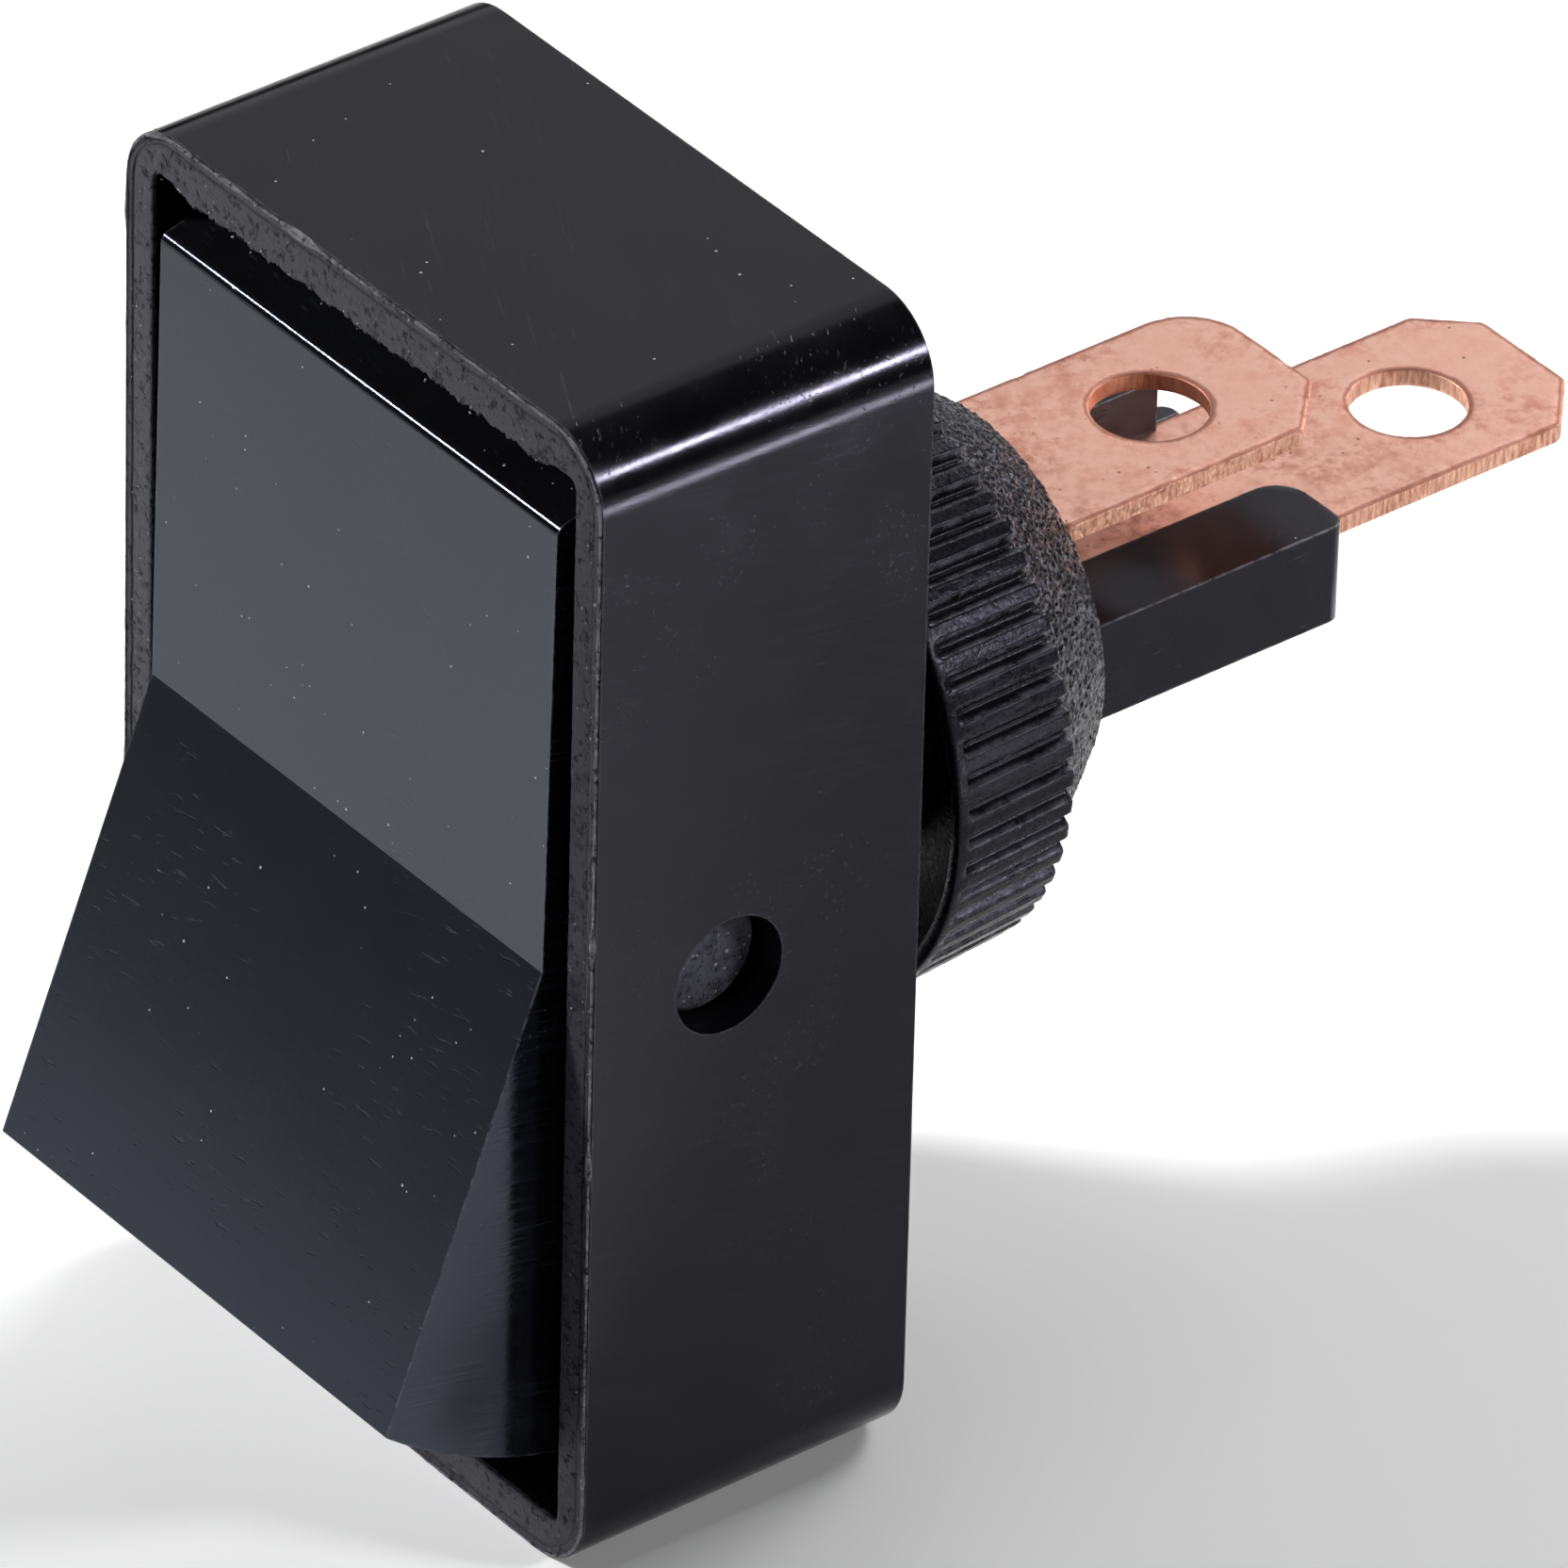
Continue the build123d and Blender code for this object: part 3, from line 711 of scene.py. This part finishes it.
def gloss_black(name, index, sheen, dark, light, rough_range, scratch_turn, dust, scraped, wear):
    """Semi-gloss black moulding: slight waviness, fine scratches, dust, paler edges and scraped sides."""
    s = Shader(name, IOR=index, Specular_Tint=sheen)
    cloudy = s.noise(0.28, 4.0, 0.55)
    fine = s.noise(9.0, 3.0, 0.6)
    scratch = s.scratches(scratch_turn, 0.05, 0.64)
    dots = s.maths("MAXIMUM", s.specks(1.7, 0.085, dust), s.specks(3.1, 0.12, dust * 0.7))
    pale_edges = s.edge(0.13, 0.015, 0.2)
    pale_edges = s.maths("MULTIPLY", pale_edges, s.span(s.noise(2.6, 5.0, 0.75), 0.40, 0.58))
    lines = s.noise(1.0, 3.0, 0.7, s.stretched((5.0, 0.45, 11.0), (0.2, 0, 0)))
    sides = s.maths("MULTIPLY", s.facing_x(), s.span(s.noise(0.35, 2.0), 0.36, 0.56, 0.15, 1.0))
    scrape = s.maths("MULTIPLY", s.maths("MULTIPLY", s.span(lines, 0.46, 0.66), sides), scraped)
    colour = s.blend(s.span(cloudy, 0.35, 0.65), dark, light)
    colour = s.blend(s.maths("MULTIPLY", scratch, 0.14), colour, SCRATCH_GREY)
    colour = s.blend(s.maths("MULTIPLY", scrape, 0.5), colour, SCRAPE_BLUE)
    colour = s.blend(s.maths("MULTIPLY", pale_edges, 0.7), colour, (wear, wear, wear * 1.12))
    colour = s.blend(dots, colour, DUST_GREY)
    rough = s.span(s.noise(0.5, 5.0, 0.65), 0.32, 0.68, *rough_range)
    rough = s.maths("ADD", rough, s.maths("MULTIPLY", fine, 0.03))
    rough = s.maths("ADD", rough, s.maths("MULTIPLY", s.maths("ADD", scratch, scrape), 0.14))
    rough = s.maths("ADD", rough, s.maths("MULTIPLY", s.maths("ADD", pale_edges, dots), 0.3))
    wave = s.bump(s.noise(0.35, 2.0, 0.5), 0.003)
    peel = s.bump(s.noise(7.0, 4.0, 0.65), 0.0022, wave)
    marks = s.maths("SUBTRACT", s.maths("SUBTRACT", dots, scratch), scrape)
    return s.finish(colour, rough, s.bump(marks, 0.003, peel))


def torn_black(name, dark, light, crumb_glint_colour, pit_share=1.0):
    """Porous torn moulding, from black to pale: blotches, pits darkened by painted shade, and crumbs that
    are partly painted glints.
    """
    s = Shader(name, IOR=1.45, Specular_Tint=COOL_SHEEN)
    blotches = s.noise(2.2, 6.0, 0.8)
    pits = s.maths("MULTIPLY", s.span(s.noise(4.6, 3.0, 0.6), 0.45, 0.33), pit_share)
    # partly painted highlight: pale specks for torn crumbs, standing in for the torn edge's glints
    crumb_glints = s.maths("MAXIMUM", s.specks(2.6, 0.16, 0.16), s.specks(5.2, 0.22, 0.12))
    colour = s.blend(s.span(blotches, 0.38, 0.62), dark, light)
    # painted shade: the pits are coloured near black for the shade inside them
    colour = s.blend(pits, colour, PIT_SHADE)
    colour = s.blend(crumb_glints, colour, crumb_glint_colour)
    rough = s.span(blotches, 0.38, 0.62, 0.24, 0.55)
    rough = s.maths("ADD", rough, s.maths("MULTIPLY", pits, 0.3))
    normal = s.bump(s.maths("SUBTRACT", s.noise(3.4, 7.0, 0.8), s.maths("MULTIPLY", pits, 0.8)), 0.11)
    return s.finish(colour, rough, normal)


def grained_nylon(name):
    """Black nylon with a spark-eroded grain; its ridges' pale edges and its shoulder's glints are painted
    highlights.
    """
    s = Shader(name, IOR=1.25, Specular_Tint=COOL_SHEEN)
    pebble = s.noise(8.0, 3.0, 0.6)
    blotches = s.noise(0.9, 4.0, 0.6)
    # painted highlight: the ridges' edges are made pale, standing in for the light that the crests reflect
    pale_edges = s.maths("MULTIPLY", s.stored("crest"), s.span(s.noise(1.8, 5.0, 0.75), 0.40, 0.58))
    # painted highlight: pale glints in the shoulder's colour, standing in for its sparkle
    cone = s.past_y(KNURL_END + 0.1)
    glints = s.maths("MULTIPLY", s.span(s.noise(5.5, 2.0, 0.5), 0.56, 0.61), cone)
    colour = s.blend(s.span(blotches, 0.35, 0.65), NYLON_DARK, NYLON_LIGHT)
    colour = s.blend(s.maths("MULTIPLY", pale_edges, 0.8), colour, NYLON_CREST_HIGHLIGHT)
    colour = s.blend(s.maths("MULTIPLY", glints, 0.8), colour, NYLON_GLINT)
    colour = s.blend(s.specks(3.2, 0.12, 0.04), colour, NYLON_DUST)
    rough = s.span(pebble, 0.3, 0.7, 0.20, 0.38)
    return s.finish(colour, rough, s.bump(pebble, 0.014))


def copper_strip(name):
    """Mill-finish copper: brown tarnish in mottles and pits, rims darkened partly by tarnish and partly by
    painted shade, painted shade in the upper hole's wall, rolling lines and sheared sides.
    """
    s = Shader(name, Metallic=1.0)
    mottle = s.noise(1.9, 7.0, 0.72)
    broad = s.noise(0.32, 3.0, 0.6)
    side = s.cut_side()
    grime = s.maths("MULTIPLY", s.span(mottle, 0.44, 0.60), s.span(broad, 0.40, 0.58))
    # rims darker: partly tarnish, partly painted shade that dims the rolled edges' highlight
    rim = s.span(s.maths("ADD", s.stored("rim"), s.noise(1.6, 5.0, 0.7)), 0.95, 1.35)
    # painted shade: the sheared sides near the upper blade's hole are made dark brown, for the shade in the
    # hole
    by_hole = s.near_axis(UPPER_HIGH[1] - UPPER_HOLE_SET_BACK, TAB_HOLE_RADIUS + 0.2)
    pits = s.maths("MULTIPLY", s.specks(3.7, 0.24, 0.16), s.span(s.noise(0.8, 4.0), 0.46, 0.60))
    rolled = s.noise(1.0, 3.0, 0.6, s.stretched((14.0, 0.4, 14.0), (0, 0, 0.05)))
    shear = s.noise(1.0, 4.0, 0.7, s.stretched((9.0, 9.0, 1.6)))
    colour = s.blend(s.span(mottle, 0.3, 0.7), COPPER_LIGHT, COPPER_DARK)
    colour = s.blend(s.maths("MULTIPLY", grime, 0.7), colour, COPPER_TARNISH)
    colour = s.blend(s.maths("MULTIPLY", rim, 0.75), colour, COPPER_RIM_TARNISH_AND_SHADE)
    colour = s.blend(pits, colour, COPPER_PIT)
    cut = s.blend(s.span(shear, 0.36, 0.62), COPPER_CUT_DARK, COPPER_CUT_LIGHT)
    cut = s.blend(s.maths("MULTIPLY", by_hole, 0.75), cut, COPPER_HOLE_SHADE)
    colour = s.blend(s.maths("MULTIPLY", side, 0.85), colour, cut)
    rough = s.span(mottle, 0.3, 0.7, 0.30, 0.42)
    rough = s.maths("ADD", rough, s.maths("MULTIPLY", s.maths("ADD", grime, rim), 0.16))
    under = s.bump(s.maths("MULTIPLY", shear, side), 0.03, s.bump(rolled, 0.0015))
    normal = s.bump(s.maths("SUBTRACT", s.noise(7.0, 3.0), pits), 0.004, under)
    return s.finish(colour, rough, normal)


def machined(name, base, dull, rough_range, metal=1.0):
    """Small bright part, of metal unless said: drawn lines, slight dulling and brighter edges."""
    s = Shader(name, Metallic=metal)
    dulling = s.noise(1.6, 5.0, 0.6)
    lines = s.noise(1.0, 3.0, 0.6, s.stretched((12.0, 1.0, 12.0)))
    pale_edges = s.edge(0.08, 0.04, 0.4)
    colour = s.blend(s.span(dulling, 0.4, 0.7), base, dull)
    colour = s.blend(s.maths("MULTIPLY", pale_edges, 0.3), colour, tuple(min(1.0, c * 1.25) for c in base))
    rough = s.span(lines, 0.3, 0.7, *rough_range)
    return s.finish(colour, rough, s.bump(lines, 0.002))


# ---- scene

CAMERA_AZIMUTH = math.radians(51.303)
CAMERA_ELEVATION = math.radians(34.567)
CAMERA_ROLL = math.radians(1.483)
CAMERA_DISTANCE = 497.92 * MM
CAMERA_RIGHT = 2.647 * MM
CAMERA_UP = -1.763 * MM
CAMERA_LENS = 448.64
CAMERA_SENSOR = 36.0

FLOOR_REACH = 2.0
FLOOR_LIGHT = (0.92, 0.92, 0.925)
FLOOR_DARK = (0.90, 0.90, 0.905)
WORLD_COLOUR = (0.01, 0.01, 0.011, 1)

WELD_MM = 0.002
SOFT_EDGE_ANGLE = math.radians(19)
SOFT_EDGE_SEGMENTS = 2


def make_camera():
    """The photograph's camera, as fitted to its silhouette lines."""
    level_back = Vector((math.sin(CAMERA_AZIMUTH), -math.cos(CAMERA_AZIMUTH), 0))
    back = level_back * math.cos(CAMERA_ELEVATION) + Vector((0, 0, math.sin(CAMERA_ELEVATION)))
    level = Vector((math.cos(CAMERA_AZIMUTH), math.sin(CAMERA_AZIMUTH), 0))
    upright = back.cross(level)
    right = math.cos(CAMERA_ROLL) * level + math.sin(CAMERA_ROLL) * upright
    up = math.cos(CAMERA_ROLL) * upright - math.sin(CAMERA_ROLL) * level
    data = bpy.data.cameras.new("camera")
    data.lens = CAMERA_LENS
    data.sensor_width = CAMERA_SENSOR
    data.sensor_fit = "HORIZONTAL"
    data.clip_start = 0.01
    data.clip_end = 10.0
    camera = bpy.data.objects.new("camera", data)
    matrix = Matrix((right, up, back)).transposed().to_4x4()
    matrix.translation = back * CAMERA_DISTANCE + right * CAMERA_RIGHT + up * CAMERA_UP
    camera.matrix_world = matrix
    bpy.context.scene.collection.objects.link(camera)
    bpy.context.scene.camera = camera


def make_floor():
    """White paper that the part lies on."""
    z = FLOOR_Z * MM
    mesh = bpy.data.meshes.new("floor")
    corners = [(x * FLOOR_REACH, y * FLOOR_REACH, z) for x, y in ((-1, -1), (1, -1), (1, 1), (-1, 1))]
    mesh.from_pydata(corners, [], [(0, 1, 2, 3)])
    floor = bpy.data.objects.new("floor", mesh)
    bpy.context.scene.collection.objects.link(floor)
    s = Shader("floor_paper", Roughness=0.8, Specular_IOR_Level=0.1)
    mesh.materials.append(s.finish(s.blend(s.noise(0.02, 3.0), FLOOR_LIGHT, FLOOR_DARK)))


def hang_lamp(name, data, place, aim):
    """Put a lamp at a place and turn it towards a point, both in metres."""
    lamp = bpy.data.objects.new(name, data)
    lamp.location = place
    lamp.rotation_euler = (Vector(aim) - Vector(place)).to_track_quat("-Z", "Y").to_euler()
    bpy.context.scene.collection.objects.link(lamp)


def softbox(name, place, width, height, power, spread=180):
    """Rectangular lamp aimed at the origin."""
    data = bpy.data.lights.new(name, "AREA")
    data.shape = "RECTANGLE"
    data.size = width
    data.size_y = height
    data.energy = power
    data.spread = math.radians(spread)
    hang_lamp(name, data, place, (0, 0, 0))


def snoot(name, place, aim, radius, power, cone, blend):
    """Round lamp whose light stays in a cone, so that it makes a pool on the floor."""
    data = bpy.data.lights.new(name, "SPOT")
    data.shadow_soft_size = radius
    data.energy = power
    data.spot_size = math.radians(cone)
    data.spot_blend = blend
    hang_lamp(name, data, place, aim)


def make_lights():
    """Lamps, a nearly black world and the plain view transform."""
    snoot(
        "key",
        place=(-0.29, -0.255, 0.235),
        aim=(-0.0126, 0.0182, -0.017),
        radius=0.06,
        power=30.0,
        cone=10.4,
        blend=0.12,
    )
    snoot(
        "band",
        place=(0.086, 0.046, 0.33),
        aim=(0.086, 0.046, -0.017),
        radius=0.012,
        power=115.0,
        cone=7.6,
        blend=1.0,
    )
    softbox("edge", (0.34, 0.235, 0.185), width=0.08, height=0.038, power=0.38, spread=120)
    softbox("back", (-0.10, 0.45, 0.30), width=0.30, height=0.20, power=0.58, spread=90)
    softbox("sky", (-0.39, 0.31, 0.34), width=0.5, height=0.5, power=0.60)
    world = bpy.data.worlds.new("studio")
    bpy.context.scene.world = world
    world.use_nodes = True
    world.node_tree.nodes["Background"].inputs["Color"].default_value = WORLD_COLOUR
    bpy.context.scene.view_settings.view_transform = "Standard"


def soften(name, width_mm):
    """Small rolled edges on a CAD node, so that its edges catch the light and its faces stay flat."""
    node = frame["nodes"][name]
    weld = node.modifiers.new("weld", "WELD")
    weld.merge_threshold = WELD_MM * MM
    bevel = node.modifiers.new("bevel", "BEVEL")
    bevel.width = width_mm * MM
    bevel.segments = SOFT_EDGE_SEGMENTS
    bevel.limit_method = "ANGLE"
    bevel.angle_limit = SOFT_EDGE_ANGLE
    flatten = node.modifiers.new("flatten", "WEIGHTED_NORMAL")
    flatten.weight = 100
    node.data.shade_smooth()


materials = {
    "housing_plastic": gloss_black(
        "housing_plastic",
        index=1.33,
        sheen=COOL_SHEEN,
        dark=(0.003, 0.003, 0.004),
        light=(0.0045, 0.0045, 0.006),
        rough_range=(0.10, 0.20),
        scratch_turn=(0, 0, 0.5),
        dust=0.05,
        scraped=0.25,
        wear=0.09,
    ),
    "rocker_plastic": gloss_black(
        "rocker_plastic",
        index=1.52,
        sheen=BLUE_SHEEN,
        dark=(0.003, 0.003, 0.004),
        light=(0.0038, 0.004, 0.0052),
        rough_range=(0.06, 0.11),
        scratch_turn=(0.9, 0, 0.2),
        dust=0.10,
        scraped=1.0,
        wear=0.09,
    ),
    "base_plastic": gloss_black(
        "base_plastic",
        index=1.30,
        sheen=COOL_SHEEN,
        dark=(0.005, 0.0045, 0.006),
        light=(0.010, 0.009, 0.012),
        rough_range=(0.12, 0.26),
        scratch_turn=(0, 0, 1.4),
        dust=0.03,
        scraped=0.0,
        wear=0.32,
    ),
    # painted light: the pivot pin's end is made lighter than the black moulding, with pale glints, so that
    # it looks lit
    "pin_plastic": torn_black(
        "pin_plastic", (0.04, 0.04, 0.05), (0.10, 0.10, 0.125), (0.55, 0.55, 0.58), pit_share=0.7
    ),
    "nut_plastic": grained_nylon("nut_plastic"),
    "terminal_copper": copper_strip("terminal_copper"),
    "contact_brass": machined("contact_brass", (0.80, 0.60, 0.28), (0.62, 0.42, 0.18), (0.22, 0.38)),
    "contact_silver": machined("contact_silver", (0.86, 0.85, 0.82), (0.66, 0.64, 0.60), (0.14, 0.26)),
    "rivet_brass": machined("rivet_brass", (0.76, 0.58, 0.28), (0.58, 0.40, 0.18), (0.2, 0.34)),
    "spring_steel": machined("spring_steel", (0.60, 0.60, 0.62), (0.42, 0.42, 0.44), (0.18, 0.3)),
    "plunger_plastic": machined(
        "plunger_plastic", (0.74, 0.72, 0.66), (0.66, 0.62, 0.54), (0.35, 0.5), metal=0.0
    ),
}
torn = torn_black("torn_rim", (0.009, 0.009, 0.011), (0.040, 0.040, 0.046), (0.15, 0.15, 0.16))
# painted highlight: the flash is made pale so that it shows as the bezel's lit edge line
pale = torn_black("torn_flash_highlight", (0.035, 0.035, 0.04), (0.24, 0.24, 0.26), (0.45, 0.45, 0.46))
# partly painted highlight: the torn crumbs are made white, standing in for glints on the torn edge
white = torn_black("torn_crumb_glints", (0.25, 0.25, 0.26), (0.60, 0.60, 0.61), (0.75, 0.75, 0.75), pit_share=0.2)

for part in frame["record"]["subparts"]:
    node = frame["nodes"][part["node"]]
    node.data.materials.clear()
    node.data.materials.append(materials[part["material_slot"]])

soften("housing", 0.10)
soften("rocker_paddle", 0.07)
soften("terminal_base", 0.08)

make_terminal(
    "upper_terminal",
    tip_shape={"right_cut": (1.65, 1.63), "left_round": 1.8},
    set_back=UPPER_HOLE_SET_BACK,
    foot_hole=(2.45, 0.4),
    rough=torn_edge,
    step=0.035,
    material=materials["terminal_copper"],
)
make_terminal(
    "lower_terminal",
    tip_shape={"right_cut": (1.62, 1.48), "left_cut": (1.33, 1.45)},
    set_back=LOWER_HOLE_SET_BACK,
    foot_hole=(-1.6, 0.5),
    rough=striated_edge,
    step=0.045,
    material=materials["terminal_copper"],
)
make_nut(materials["nut_plastic"])
make_spring(materials["spring_steel"])
make_rim(torn)
make_flash(pale)
make_crumbs(white)

make_camera()
make_floor()
make_lights()
